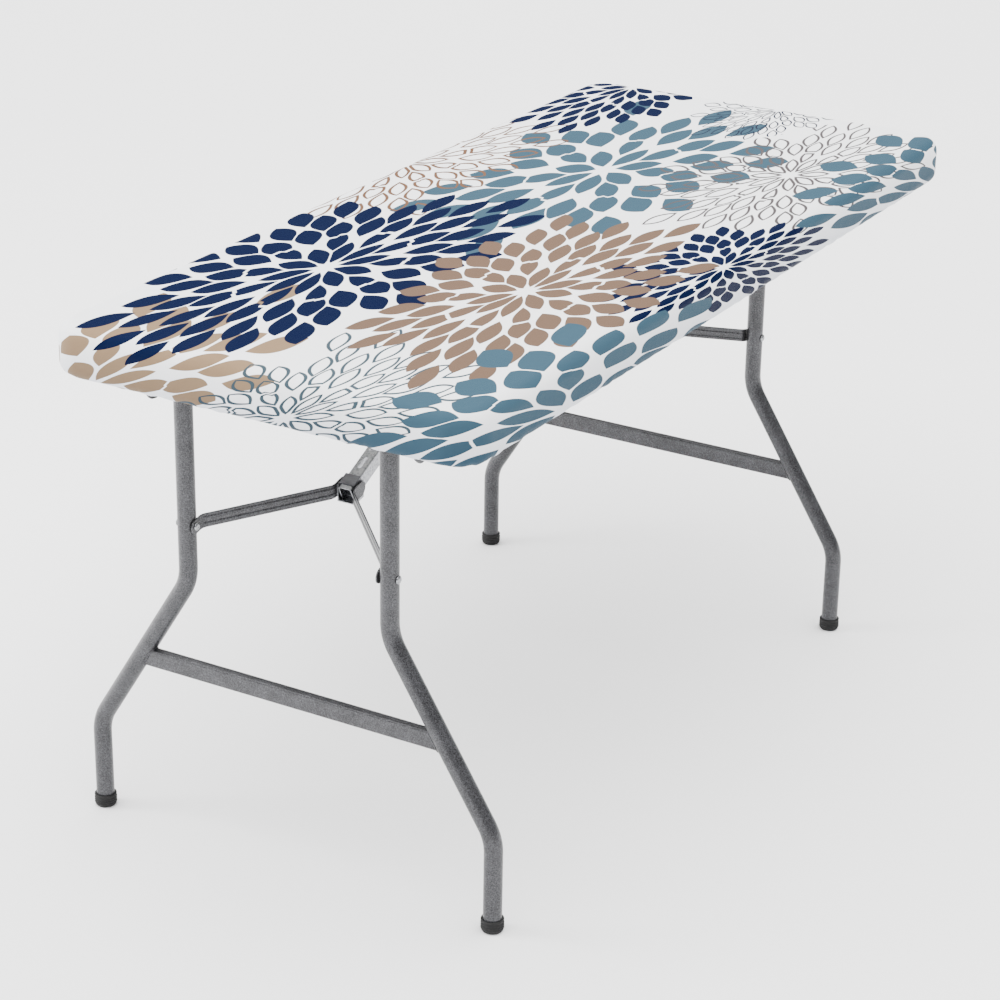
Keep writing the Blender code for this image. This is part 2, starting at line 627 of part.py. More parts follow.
clear_scene()
CUTTER_SURFACE = material("cutter", (1.0, 0.0, 1.0), 0.5, 0.0)
PRINTED_CLOTH = material("printed_cloth", (0.86, 0.87, 0.90), 0.55, 0.0)
ELASTIC = material("elastic", (0.85, 0.85, 0.83), 0.80, 0.0)
MOULDED_PANEL = material("moulded_panel", (0.80, 0.80, 0.77), 0.50, 0.0)
PAINTED_STEEL = material("painted_steel", (0.30, 0.30, 0.31), 0.45, 0.6)
HAMMERTONE = material("hammertone_steel", (0.25, 0.25, 0.26), 0.40, 0.7)
ZINC_STEEL = material("zinc_steel", (0.72, 0.72, 0.72), 0.30, 1.0)
DARK_STEEL = material("dark_steel", (0.30, 0.30, 0.30), 0.40, 0.9)
BLACK_RUBBER = material("black_rubber", (0.03, 0.03, 0.03), 0.75, 0.0)
NYLON = material("nylon", (0.10, 0.10, 0.10), 0.50, 0.0)

COVER_PIVOT = pivot_at("cover_lift_axis", (0, 0, TABLE_HEIGHT))
make_cover()
make_panel()
make_rails()
make_centre_support()
for end, at_x, towards in (("near", NEAR_FRAME_X, 1), ("far", FAR_FRAME_X, -1)):
    for y_side, y_name in ((1, "left"), (-1, "right")):
        make_pivot_bracket(end, y_name, at_x, y_side)
    strut_x = at_x + towards * STRUT_PIVOT_INBOARD
    make_strut_clevis(end, strut_x)
    leg_pivot = pivot_at(f"{end}_leg_axis", (at_x, 0, PIVOT_Z))
    brace_pivot = pivot_at(f"{end}_brace_axis", (at_x, 0, RIVET_Z), leg_pivot)
    strut_axis = pivot_at(f"{end}_strut_axis", (strut_x, 0, STRUT_PIVOT_Z))
    ring_axis = pivot_at(f"{end}_ring_axis", (at_x + towards * KNUCKLE_INBOARD, 0, KNUCKLE_Z), strut_axis)
    make_leg_frame(end, at_x, leg_pivot)
    make_brace(end, at_x, towards, brace_pivot)
    make_strut(end, at_x, towards, strut_axis, ring_axis)
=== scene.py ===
"""Looks for the folding table dressed with a fitted, printed tablecloth. Metres, +Z up, +X along the
table away from the near end, +Y across it to the left."""

import json
import math

import bmesh
import bpy
from mathutils import Matrix, Vector

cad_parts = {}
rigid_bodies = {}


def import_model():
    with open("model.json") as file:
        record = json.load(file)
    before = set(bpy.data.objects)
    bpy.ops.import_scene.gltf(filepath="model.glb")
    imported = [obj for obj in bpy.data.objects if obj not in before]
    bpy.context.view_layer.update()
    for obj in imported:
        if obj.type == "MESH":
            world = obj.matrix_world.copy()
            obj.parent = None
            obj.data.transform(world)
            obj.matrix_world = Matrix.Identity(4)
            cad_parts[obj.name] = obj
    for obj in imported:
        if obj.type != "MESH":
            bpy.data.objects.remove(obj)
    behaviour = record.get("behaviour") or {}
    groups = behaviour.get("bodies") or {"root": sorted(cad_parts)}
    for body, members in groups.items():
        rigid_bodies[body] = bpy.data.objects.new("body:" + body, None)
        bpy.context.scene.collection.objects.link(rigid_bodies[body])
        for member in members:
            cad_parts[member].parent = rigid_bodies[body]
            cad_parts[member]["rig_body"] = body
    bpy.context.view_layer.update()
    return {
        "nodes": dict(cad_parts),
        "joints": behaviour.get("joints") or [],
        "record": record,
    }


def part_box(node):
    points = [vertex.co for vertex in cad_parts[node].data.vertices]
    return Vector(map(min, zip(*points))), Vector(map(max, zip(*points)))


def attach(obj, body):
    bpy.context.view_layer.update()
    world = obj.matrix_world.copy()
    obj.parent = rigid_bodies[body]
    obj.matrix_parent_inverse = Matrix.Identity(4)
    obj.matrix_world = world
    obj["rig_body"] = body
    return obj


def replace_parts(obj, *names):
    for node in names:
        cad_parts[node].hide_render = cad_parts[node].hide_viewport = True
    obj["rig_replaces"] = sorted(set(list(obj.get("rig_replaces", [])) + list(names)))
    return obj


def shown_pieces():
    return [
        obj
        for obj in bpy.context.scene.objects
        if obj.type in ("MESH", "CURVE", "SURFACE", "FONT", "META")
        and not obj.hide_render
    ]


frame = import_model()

BODY_OF = {node: thing["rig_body"] for node, thing in frame["nodes"].items()}
JOINTS = {joint["name"]: joint for joint in frame["joints"]}


# --- node graphs -------------------------------------------------------------------------------------


class Graph:
    """Builds a shader tree from expressions. A value is a number, a tuple or a node's output."""

    def __init__(self, tree):
        self.tree = tree

    def node(self, kind, **settings):
        made = self.tree.nodes.new(kind)
        for name, value in settings.items():
            setattr(made, name, value)
        return made

    def put(self, socket, value):
        if isinstance(value, bpy.types.NodeSocket):
            self.tree.links.new(value, socket)
        elif value is not None:
            socket.default_value = value

    def math(self, operation, *values):
        made = self.node("ShaderNodeMath", operation=operation)
        for socket, value in zip(made.inputs, values):
            self.put(socket, value)
        return made.outputs[0]

    def vector(self, operation, *values):
        made = self.node("ShaderNodeVectorMath", operation=operation)
        for socket, value in zip(made.inputs, values):
            self.put(socket, value)
        return made.outputs["Value" if operation in ("LENGTH", "DISTANCE", "DOT_PRODUCT") else "Vector"]

    def combine(self, x, y, z):
        made = self.node("ShaderNodeCombineXYZ")
        for socket, value in zip(made.inputs, (x, y, z)):
            self.put(socket, value)
        return made.outputs[0]

    def split(self, value):
        made = self.node("ShaderNodeSeparateXYZ")
        self.put(made.inputs[0], value)
        return made.outputs

    def remap(self, value, low, high, to_low=0.0, to_high=1.0, smooth=False):
        made = self.node("ShaderNodeMapRange", interpolation_type="SMOOTHSTEP" if smooth else "LINEAR")
        for socket, entry in zip(made.inputs, (value, low, high, to_low, to_high)):
            self.put(socket, entry)
        return made.outputs[0]

    def noise(self, place, scale, detail=2.0, roughness=0.5):
        made = self.node("ShaderNodeTexNoise")
        self.put(made.inputs["Vector"], place)
        self.put(made.inputs["Scale"], scale)
        self.put(made.inputs["Detail"], detail)
        self.put(made.inputs["Roughness"], roughness)
        return made.outputs["Fac"]

    def cells(self, place, scale, feature="F1"):
        made = self.node("ShaderNodeTexVoronoi", feature=feature)
        self.put(made.inputs["Vector"], place)
        self.put(made.inputs["Scale"], scale)
        return made.outputs["Distance"]

    def mix(self, share, first, second):
        made = self.node("ShaderNodeMix", data_type="RGBA")
        self.put(made.inputs["Factor"], share)
        self.put(made.inputs["A"], first)
        self.put(made.inputs["B"], second)
        return made.outputs["Result"]

    def mix_number(self, share, first, second):
        made = self.node("ShaderNodeMix", data_type="FLOAT")
        self.put(made.inputs["Factor"], share)
        self.put(made.inputs["A"], first)
        self.put(made.inputs["B"], second)
        return made.outputs["Result"]

    def bump(self, height, strength, distance, before=None):
        made = self.node("ShaderNodeBump")
        self.put(made.inputs["Strength"], strength)
        self.put(made.inputs["Distance"], distance)
        self.put(made.inputs["Height"], height)
        self.put(made.inputs["Normal"], before)
        return made.outputs[0]


def srgb(red, green, blue):
    """A colour given as levels of 0 to 255, turned into the linear values that shaders take."""
    found = []
    for value in (red, green, blue):
        share = value / 255
        found.append(share / 12.92 if share <= 0.04045 else ((share + 0.055) / 1.055) ** 2.4)
    return (*found, 1.0)


def start_material(name, **sockets):
    """A new material, its graph, its Principled shader and the piece's own coordinates."""
    made = bpy.data.materials.new(name)
    made.use_nodes = True
    graph = Graph(made.node_tree)
    shader = made.node_tree.nodes["Principled BSDF"]
    for socket, value in sockets.items():
        shader.inputs[socket.replace("_", " ")].default_value = value
    place = graph.node("ShaderNodeTexCoord").outputs["Object"]
    return made, graph, shader, place


# --- printed cloth -------------------------------------------------------------------------------------

# The print is drawn twice as long along the table as across it.
PRINT_STRETCH = 2.0
WHITE = srgb(250, 251, 252)
NAVY = srgb(0, 13, 46)
TAUPE = srgb(102, 82, 68)
SLATE = srgb(54, 78, 92)
BEIGE = srgb(132, 110, 86)
LINE_GREY = srgb(78, 73, 74)
LINE_SLATE = srgb(58, 72, 80)
LINE_TAUPE = srgb(104, 76, 58)
LINE_NAVY = srgb(30, 34, 50)
# One layer of the print: whether its petals are outlines, how many petals its inner ring has, and its
# flowers as (x, y, petal pitch, turn in degrees, colour).
PRINT_LAYERS = (
    (False, 7, ((-0.910, 0.145, 0.070, 0, BEIGE), (0.261, 0.044, 0.070, 41, SLATE))),
    (True, 10, ((-0.865, -0.131, 0.052, 8, LINE_SLATE), (0.392, -0.207, 0.0525, 3, LINE_GREY),
                (0.125, 0.318, 0.055, 12, LINE_TAUPE), (0.725, -0.033, 0.034, 0, LINE_NAVY))),
    (False, 10, ((-0.358, 0.139, 0.065, -9, NAVY), (-0.060, -0.319, 0.039, -9, NAVY),
                 (0.722, 0.237, 0.047, 5, NAVY))),
    (False, 10, ((-0.298, -0.141, 0.0585, -9, TAUPE),)),
    (False, 7, ((-0.650, -0.410, 0.070, 15, SLATE), (0.525, -0.430, 0.070, 12, SLATE))),
)
# The width of a line, and half the blur at an edge of ink, in petal pitches.
LINE_WIDTH = 0.070
EDGE_BLUR = 0.004
# The least white left between two petals, in petal pitches.
PETAL_GAP = 0.03
# The knit's loops, along and across the table.
WALE_WIDTH = 0.0011
COURSE_HEIGHT = 0.0009


def dahlia_rows(graph, radius, turn, count, width, seed, first, odd, rows):
    """Every other ring of petals: how far inside the nearest petal a point is, in petal pitches. first
    is the inner tip of the innermost of these rings, odd tells whether their petals stand half a petal
    round from the inner ones, and the outermost of the rows has gaps."""
    along = graph.math("SUBTRACT", radius, first)
    ring = graph.math("MAXIMUM", graph.math("FLOOR", along), 0.0)
    outside_first = graph.math("MINIMUM", ring, 1.0)
    petals = graph.math("MULTIPLY", count, graph.math("ADD", outside_first, 1.0))
    shift = outside_first if odd else graph.math("SUBTRACT", 1.0, outside_first)
    around = graph.math("MULTIPLY_ADD", turn, petals, graph.math("MULTIPLY", shift, 0.5))
    cell = graph.math("FLOOR", around)
    across = graph.math("SUBTRACT", graph.math("SUBTRACT", around, cell), 0.5)
    which = graph.math("FLOORED_MODULO", cell, petals)
    random = graph.node("ShaderNodeTexWhiteNoise", noise_dimensions="3D")
    graph.put(random.inputs["Vector"], graph.combine(which, ring, graph.math("ADD", seed, first)))
    jitter = graph.split(graph.vector("SUBTRACT", random.outputs["Color"], (0.5, 0.5, 0.5)))
    share = graph.math("MULTIPLY_ADD", jitter[0], 0.06, graph.math("SUBTRACT", along, ring))
    share = graph.math("DIVIDE", graph.math("SUBTRACT", share, 0.05), 0.83)
    angle = graph.math("DIVIDE", graph.math("MULTIPLY_ADD", jitter[1], 0.12, across), petals)
    aside = graph.math("MULTIPLY", graph.math("MULTIPLY", angle, math.tau), radius)
    leaf = graph.math("MULTIPLY", share, graph.math("SUBTRACT", 1.0, share))
    fullness = graph.math("MULTIPLY_ADD", share, 1.6, graph.math("MULTIPLY_ADD", jitter[2], 0.45, 3.3))
    fullness = graph.math("MULTIPLY", fullness, graph.math("MULTIPLY_ADD", outside_first, 0.2, 0.8))
    inside = graph.math("SUBTRACT", graph.math("MULTIPLY", graph.math("MULTIPLY", leaf, fullness), width),
                        graph.math("ABSOLUTE", aside))
    to_next = graph.math("DIVIDE", graph.math("SUBTRACT", 0.5, graph.math("ABSOLUTE", across)), petals)
    to_next = graph.math("MULTIPLY", graph.math("MULTIPLY", to_next, math.tau), radius)
    inside = graph.math("MINIMUM", inside, graph.math("SUBTRACT", to_next, PETAL_GAP / 2))
    beyond = graph.math("GREATER_THAN", ring, graph.math("ADD", jitter[2], rows))
    return graph.math("SUBTRACT", inside, graph.math("MULTIPLY", beyond, 10.0))


def dahlia_group():
    """Rings of pointed petals round a centre, each ring in the gaps of the one inside it."""
    tree = bpy.data.node_groups.new("Dahlia", "ShaderNodeTree")
    tree.interface.new_socket("Place", in_out="INPUT", socket_type="NodeSocketVector")
    for name in ("Turn", "Petals", "Width", "Between", "Seed"):
        tree.interface.new_socket(name, in_out="INPUT", socket_type="NodeSocketFloat")
    tree.interface.new_socket("Inside", in_out="OUTPUT", socket_type="NodeSocketFloat")
    graph = Graph(tree)
    given = graph.node("NodeGroupInput").outputs
    x, y, _ = graph.split(given["Place"])
    radius = graph.vector("LENGTH", given["Place"])
    turn = graph.math("SUBTRACT", graph.math("DIVIDE", graph.math("ARCTAN2", y, x), math.tau), given["Turn"])
    shape = (given["Petals"], given["Width"], given["Seed"])
    even = dahlia_rows(graph, radius, turn, *shape, 0.12, True, 2.35)
    odd = dahlia_rows(graph, radius, turn, *shape, given["Between"], False, 1.75)
    apart = graph.math("ABSOLUTE", graph.math("SUBTRACT", even, odd))
    inside = graph.math("MINIMUM", graph.math("MAXIMUM", even, odd), graph.math("SUBTRACT", apart, PETAL_GAP))
    graph.put(graph.node("NodeGroupOutput").inputs[0], inside)
    return tree


def nearest_flower(graph, place, flowers):
    """The place measured from the nearest of some flowers in its petal pitches, its turn and colour."""
    best = None
    for x, y, pitch, degrees, colour in flowers:
        offset = graph.vector("SUBTRACT", place, (x, y, 0.0))
        offset = graph.vector("MULTIPLY", offset, (1 / PRINT_STRETCH / pitch, 1 / pitch, 0.0))
        turn = degrees / 360 - 0.05
        if best is None:
            best = [offset, turn, colour]
            continue
        distance = graph.vector("LENGTH", offset)
        closer = graph.math("LESS_THAN", distance, graph.vector("LENGTH", best[0]))
        pick = graph.node("ShaderNodeMix", data_type="VECTOR")
        graph.put(pick.inputs["Factor"], closer)
        graph.put(pick.inputs[4], best[0])
        graph.put(pick.inputs[5], offset)
        best = [pick.outputs[1], graph.mix_number(closer, best[1], turn), graph.mix(closer, best[2], colour)]
    return best


def print_colour(graph, place):
    """The printed colour at a place on the flat cloth."""
    dahlia = dahlia_group()
    colour = WHITE
    for seed, (outlined, petals, flowers) in enumerate(PRINT_LAYERS):
        offset, turn, ink = nearest_flower(graph, place, flowers)
        flower = graph.node("ShaderNodeGroup", node_tree=dahlia)
        width, between = (0.200, 0.66) if petals == 10 else (0.240, 0.56)
        for name, value in (("Place", offset), ("Turn", turn), ("Petals", petals), ("Width", width),
                            ("Between", between), ("Seed", seed)):
            graph.put(flower.inputs[name], value)
        inside = flower.outputs[0]
        covered = graph.remap(inside, -EDGE_BLUR, EDGE_BLUR)
        if outlined:
            ground = graph.remap(inside, LINE_WIDTH - EDGE_BLUR, LINE_WIDTH + EDGE_BLUR)
            covered = graph.math("SUBTRACT", covered, ground)
        colour = graph.mix(covered, colour, ink)
    return colour


def cloth_material(name, reverse=False):
    """Satin-finish polyester knit with a random mottle, and painted shade that greys it more the lower it
    hangs towards the hem. The print shows faintly through to its reverse."""
    made, graph, shader, place = start_material(name, Roughness=0.45, Specular_IOR_Level=0.03)
    flat = graph.node("ShaderNodeUVMap", uv_map="print").outputs[0]
    colour = print_colour(graph, flat)
    if reverse:
        colour = graph.mix(0.62, colour, WHITE)
    mottle = graph.remap(graph.noise(flat, 900.0, 2.0), 0.3, 0.7, 0.0, 0.10)
    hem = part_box("hem_casing")[0].z
    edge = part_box("tablecloth")[1].z - 0.008
    # Painted shade: the cloth is greyed more the lower it hangs towards the hem, standing in for the skirt's
    # shading.
    painted_hem_shade = graph.remap(graph.split(place)[2], hem, edge, 0.50, 0.0)
    shade = graph.node("ShaderNodeMix", data_type="RGBA", blend_type="MULTIPLY")
    # The multiply takes the random mottle and the painted hem shade together.
    graph.put(shade.inputs["Factor"], graph.math("ADD", mottle, painted_hem_shade))
    graph.put(shade.inputs["A"], colour)
    graph.put(shade.inputs["B"], srgb(170, 175, 190))
    graph.put(shader.inputs["Base Color"], shade.outputs["Result"])
    threads = graph.vector("MULTIPLY", flat, (1 / WALE_WIDTH, 1 / COURSE_HEIGHT, 1.0))
    x, y, _ = graph.split(threads)
    knit = graph.math("MULTIPLY", graph.math("SINE", graph.math("MULTIPLY", x, math.tau)),
                      graph.math("SINE", graph.math("MULTIPLY", y, math.tau)))
    slack = graph.noise(place, 14.0, 3.0)
    normal = graph.bump(slack, 0.12, 0.010)
    graph.put(shader.inputs["Normal"], graph.bump(knit, 0.18, 0.0003, normal))
    return made


# --- other materials -----------------------------------------------------------------------------------


def thread_material():
    """White polyester sewing thread, its plies twisted round each other."""
    made, graph, shader, place = start_material("sewing_thread", Specular_IOR_Level=0.3)
    twist = graph.noise(place, 2600.0, 2.0)
    graph.put(shader.inputs["Base Color"], graph.mix(twist, srgb(206, 206, 202), srgb(240, 240, 238)))
    graph.put(shader.inputs["Roughness"], graph.remap(twist, 0.2, 0.8, 0.5, 0.75))
    graph.put(shader.inputs["Normal"], graph.bump(twist, 0.3, 0.0002))
    return made


def hammertone_material():
    """Grey hammer-finish enamel: fine dimples, a little darker in their hollows."""
    made, graph, shader, place = start_material("hammertone_steel", Metallic=0.45, Specular_IOR_Level=0.7)
    dimples = graph.cells(place, 560.0, "SMOOTH_F1")
    grain = graph.noise(place, 850.0, 3.0, 0.7)
    patch = graph.noise(place, 40.0, 3.0)
    tone = graph.math("ADD", graph.math("MULTIPLY", dimples, 0.5), grain)
    tone = graph.math("MULTIPLY_ADD", patch, 0.3, tone)
    share = graph.remap(tone, 0.65, 1.25)
    graph.put(shader.inputs["Base Color"], graph.mix(share, srgb(16, 16, 18), srgb(88, 88, 92)))
    graph.put(shader.inputs["Roughness"], graph.remap(grain, 0.3, 0.7, 0.24, 0.40))
    graph.put(shader.inputs["Normal"], graph.bump(graph.math("ADD", dimples, grain), 0.28, 0.0005))
    return made


def zinc_material():
    """Bright zinc plating with faint spangle and drawn lines."""
    made, graph, shader, place = start_material("zinc_steel", Metallic=0.95)
    spangle = graph.cells(place, 260.0)
    cloudy = graph.noise(place, 90.0, 4.0, 0.6)
    share = graph.remap(graph.math("ADD", spangle, cloudy), 0.4, 1.2)
    graph.put(shader.inputs["Base Color"], graph.mix(share, srgb(112, 113, 117), srgb(158, 159, 162)))
    graph.put(shader.inputs["Roughness"], graph.remap(cloudy, 0.3, 0.7, 0.22, 0.42))
    graph.put(shader.inputs["Normal"], graph.bump(cloudy, 0.10, 0.0006))
    return made


def steel_material(name, dark, light, metallic):
    """Painted or blackened sheet steel, with a fine orange-peel surface and a little wear."""
    made, graph, shader, place = start_material(name, Metallic=metallic)
    peel = graph.noise(place, 500.0, 2.0)
    cloudy = graph.noise(place, 45.0, 4.0, 0.6)
    graph.put(shader.inputs["Base Color"], graph.mix(graph.remap(cloudy, 0.3, 0.7), dark, light))
    graph.put(shader.inputs["Roughness"], graph.remap(cloudy, 0.3, 0.7, 0.36, 0.52))
    graph.put(shader.inputs["Normal"], graph.bump(peel, 0.2, 0.0003))
    return made


def rubber_material():
    """Black rubber with a fine grain and dust in its hollows."""
    made, graph, shader, place = start_material("black_rubber", Specular_IOR_Level=0.35)
    dust = graph.noise(place, 120.0, 5.0, 0.7)
    grain = graph.noise(place, 1400.0, 2.0)
    share = graph.remap(dust, 0.45, 0.8)
    graph.put(shader.inputs["Base Color"], graph.mix(share, srgb(13, 13, 14), srgb(34, 33, 33)))
    graph.put(shader.inputs["Roughness"], graph.remap(dust, 0.3, 0.7, 0.60, 0.82))
    graph.put(shader.inputs["Normal"], graph.bump(grain, 0.25, 0.0003))
    return made


def plastic_material(name, dark, light, grain_size, relief):
    """Moulded plastic with the leathery grain of its tool."""
    made, graph, shader, place = start_material(name, Specular_IOR_Level=0.4)
    grain = graph.cells(place, 1 / grain_size, "SMOOTH_F1")
    cloudy = graph.noise(place, 12.0, 3.0)
    graph.put(shader.inputs["Base Color"], graph.mix(graph.remap(cloudy, 0.3, 0.7), dark, light))
    graph.put(shader.inputs["Roughness"], graph.remap(grain, 0.0, 0.8, 0.42, 0.58))
    graph.put(shader.inputs["Normal"], graph.bump(grain, 0.5, relief))
    return made


CLOTH = cloth_material("printed_cloth")
CLOTH_REVERSE = cloth_material("printed_cloth_reverse", reverse=True)
THREAD = thread_material()
SURFACES = {
    "hammertone_steel": hammertone_material(),
    "zinc_steel": zinc_material(),
    "painted_steel": steel_material("painted_steel", srgb(66, 67, 70), srgb(84, 85, 88), 0.5),
    "dark_steel": steel_material("dark_steel", srgb(84, 84, 88), srgb(118, 118, 122), 0.9),
    "black_rubber": rubber_material(),
    "moulded_panel": plastic_material(
        "moulded_panel", srgb(176, 176, 172), srgb(196, 196, 192), grain_size=0.0016, relief=0.0004),
    "nylon": plastic_material("nylon", srgb(30, 30, 31), srgb(44, 44, 45), grain_size=0.0009, relief=0.0002),
}
SLOT_OF = {row["node"]: row["material_slot"] for row in frame["record"]["subparts"]}


# --- pieces ----------------------------------------------------------------------------------------------


def add_piece(name, mesh_data, surfaces, body, smooth_angle=35):
    """A piece from a bmesh, shaded smooth up to an angle, that rides on a body."""
    mesh = bpy.data.meshes.new(name)
    mesh_data.to_mesh(mesh)
    mesh_data.free()
    for surface in surfaces:
        mesh.materials.append(surface)
    mesh.shade_smooth()
    if smooth_angle is not None:
        mesh.set_sharp_from_angle(angle=math.radians(smooth_angle))
    made = bpy.data.objects.new(name, mesh)
    bpy.context.scene.collection.objects.link(made)
    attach(made, body)
    return made


# Cloth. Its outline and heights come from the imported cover.
cover_low, cover_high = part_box("tablecloth")
HALF_LENGTH = cover_high.x
HALF_WIDTH = cover_high.y
TOP_Z = cover_high.z
SKIRT_Z = cover_low.z
HEM_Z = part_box("hem_casing")[0].z
CORNER_RADIUS = 0.050
EDGE_RADIUS = 0.022
CLOTH_THICKNESS = 0.0012
THREAD_RADIUS = 0.0003
# Points round the cover, round its casing, and stitches round its hem.
AROUND = 1000
CASING_AROUND = 1400
CASING_SIDES = 12
STITCHES = 1150
STITCH_SIDES = 6


def outline_point(share, inset):
    """A point share of the way round the cover, moved in by inset, with the outward direction there."""
    straight_x = HALF_LENGTH - CORNER_RADIUS
    straight_y = HALF_WIDTH - CORNER_RADIUS
    bend = math.pi / 2 * CORNER_RADIUS
    run = share * 4 * (straight_x + straight_y + bend)
    radius = CORNER_RADIUS - inset
    for turn, (reach, cross) in enumerate(((straight_x, straight_y), (straight_y, straight_x)) * 2):
        side = 2 * cross
        quarter = Matrix.Rotation(turn * math.pi / 2, 2)
        if run <= side:
            return quarter @ Vector((reach + radius, run - cross)), quarter @ Vector((1, 0))
        run -= side
        if run <= bend or turn == 3:
            angle = min(run / CORNER_RADIUS, math.pi / 2)
            out = Vector((math.cos(angle), math.sin(angle)))
            return quarter @ (Vector((reach, cross)) + out * radius), quarter @ out
        run -= bend
    raise ValueError("share is from 0 to 1")


def profile_arc(centre, radius, start, end, steps):
    """(inset, height) points on a circle in the cover's section, angles in degrees."""
    found = []
    for step in range(1, steps + 1):
        angle = math.radians(start + (end - start) * step / steps)
        found.append((centre[0] + radius * math.cos(angle), centre[1] + radius * math.sin(angle)))
    return found


def cover_profile():
    """The cover's section from the edge of its flat top, over the edge, down and in under the rim."""
    roll = SKIRT_Z - HEM_Z
    found = [(EDGE_RADIUS, TOP_Z)]
    found += profile_arc((EDGE_RADIUS, TOP_Z - EDGE_RADIUS), EDGE_RADIUS, 90, 180, 9)
    for step in range(1, 5):
        found.append((0.0, TOP_Z - EDGE_RADIUS + (SKIRT_Z - TOP_Z + EDGE_RADIUS) * step / 4))
    found += profile_arc((roll, SKIRT_Z), roll, 180, 270, 9)
    found += [(roll + 0.005, HEM_Z + 0.0004), (roll + 0.010, HEM_Z + 0.0012)]
    return found


# How far the print shifts over the table for each metre down the skirts that face the near right corner.
PRINT_DRAG = Vector((-2.35, -1.45))


def print_place(point, out):
    """Where a point of the cover lies on the print."""
    drop = TOP_Z - point.z
    facing = max(0.0, min(1.0, 0.5 - 1.2 * out.dot(Vector((0.8, 0.6)).normalized())))
    shift = PRINT_DRAG * facing * drop + Vector(out) * (1 - facing) * drop
    return point.xy + shift


def gather(share, amount):
    """How far the gathered cloth stands out, from the elastic's many small folds."""
    wave = math.sin(share * math.tau * 96 + 2.1 * math.sin(share * math.tau * 11))
    fine = math.sin(share * math.tau * 171 + 1.7 * math.sin(share * math.tau * 23 + 1))
    swell = 0.6 + 0.4 * math.sin(share * math.tau * 17 + 0.7)
    return amount * swell * (0.65 * wave + 0.35 * fine)


def cover_cloth():
    """The cover's surface with its print's coordinates, and the length of its section past the top."""
    mesh_data = bmesh.new()
    print_layer = mesh_data.loops.layers.uv.new("print")
    rings = []
    profile = cover_profile()
    lowest = HEM_Z
    for depth, (inset, height) in enumerate(profile):
        ring = []
        before = profile[max(depth - 1, 0)]
        after = profile[min(depth + 1, len(profile) - 1)]
        along = Vector((after[0] - before[0], after[1] - before[1])).normalized()
        slack = max(0.0, (SKIRT_Z + 0.012 - height) / (SKIRT_Z + 0.012 - lowest))
        slack = min(1.0, slack) ** 1.5 * (1.0 if inset < 0.01 else 1.0 + (inset / 0.02))
        for step in range(AROUND):
            share = step / AROUND
            puff = gather(share, 0.0011) * slack
            place, out = outline_point(share, inset + along.y * puff)
            point = Vector((place.x, place.y, height - along.x * puff))
            ring.append((mesh_data.verts.new(point), out))
        rings.append(ring)
    middle = HALF_LENGTH - HALF_WIDTH
    inner = [rings[0]]
    for share in (0.12, 0.3, 0.5, 0.7, 0.9):
        ring = []
        for vertex, out in rings[0]:
            spine = Vector((max(-middle, min(middle, vertex.co.x)), 0, TOP_Z))
            ring.append((mesh_data.verts.new(vertex.co.lerp(spine, share)), out))
        inner.append(ring)
    for chain in (rings, inner):
        for first, second in zip(chain, chain[1:]):
            for i in range(AROUND):
                j = (i + 1) % AROUND
                corners = [first[i], first[j], second[j], second[i]]
                if chain is rings:
                    corners.reverse()
                add_print_face(mesh_data, print_layer, corners)
    add_print_face(mesh_data, print_layer, inner[-1])
    length = sum((Vector(a) - Vector(b)).length for a, b in zip(profile, profile[1:])) - EDGE_RADIUS
    return mesh_data, length


def add_print_face(mesh_data, layer, corners):
    face = mesh_data.faces.new([vertex for vertex, _ in corners])
    for loop, (vertex, out) in zip(face.loops, corners):
        loop[layer].uv = print_place(vertex.co, out)


def make_cover():
    """The cloth with its thickness, and the casing and stitches of its hem."""
    mesh_data, skirt = cover_cloth()
    surfaces = (CLOTH, CLOTH_REVERSE, CLOTH)
    cloth = add_piece("tablecloth_printed", mesh_data, surfaces, "cover", None)
    solid = cloth.modifiers.new("thickness", "SOLIDIFY")
    solid.thickness = CLOTH_THICKNESS
    solid.offset = -1
    solid.material_offset = 1
    solid.material_offset_rim = 2
    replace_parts(cloth, "tablecloth")
    casing = make_casing()
    stitches = make_stitches()


def make_casing():
    """The ruffled tube of cloth, turned in under the rim, that holds the elastic."""
    mesh_data = bmesh.new()
    layer = mesh_data.loops.layers.uv.new("print")
    roll = SKIRT_Z - HEM_Z
    inset = roll + 0.0155
    height = HEM_Z + 0.0052
    rings = []
    for step in range(CASING_AROUND):
        share = step / CASING_AROUND
        ruffle = gather(share, 0.0016)
        ring = []
        for side in range(CASING_SIDES):
            angle = math.tau * side / CASING_SIDES
            wide = 0.0085 + 0.8 * ruffle * math.sin(angle)
            tall = 0.0042 + 0.5 * gather(share + 0.0007, 0.0016) * math.cos(angle * 2)
            place, out = outline_point(share, inset + wide * math.cos(angle))
            point = Vector((place.x, place.y, height + tall * math.sin(angle) + 0.4 * ruffle))
            ring.append((mesh_data.verts.new(point), out))
        rings.append(ring)
    for i in range(CASING_AROUND):
        first = rings[i]
        second = rings[(i + 1) % CASING_AROUND]
        for j in range(CASING_SIDES):
            k = (j + 1) % CASING_SIDES
            add_print_face(mesh_data, layer, [first[j], second[j], second[k], first[k]])
    bmesh.ops.recalc_face_normals(mesh_data, faces=mesh_data.faces)
    casing = add_piece("hem_casing_ruffled", mesh_data, (CLOTH,), "cover", None)
    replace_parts(casing, "hem_casing", "hem_elastic")
    return casing


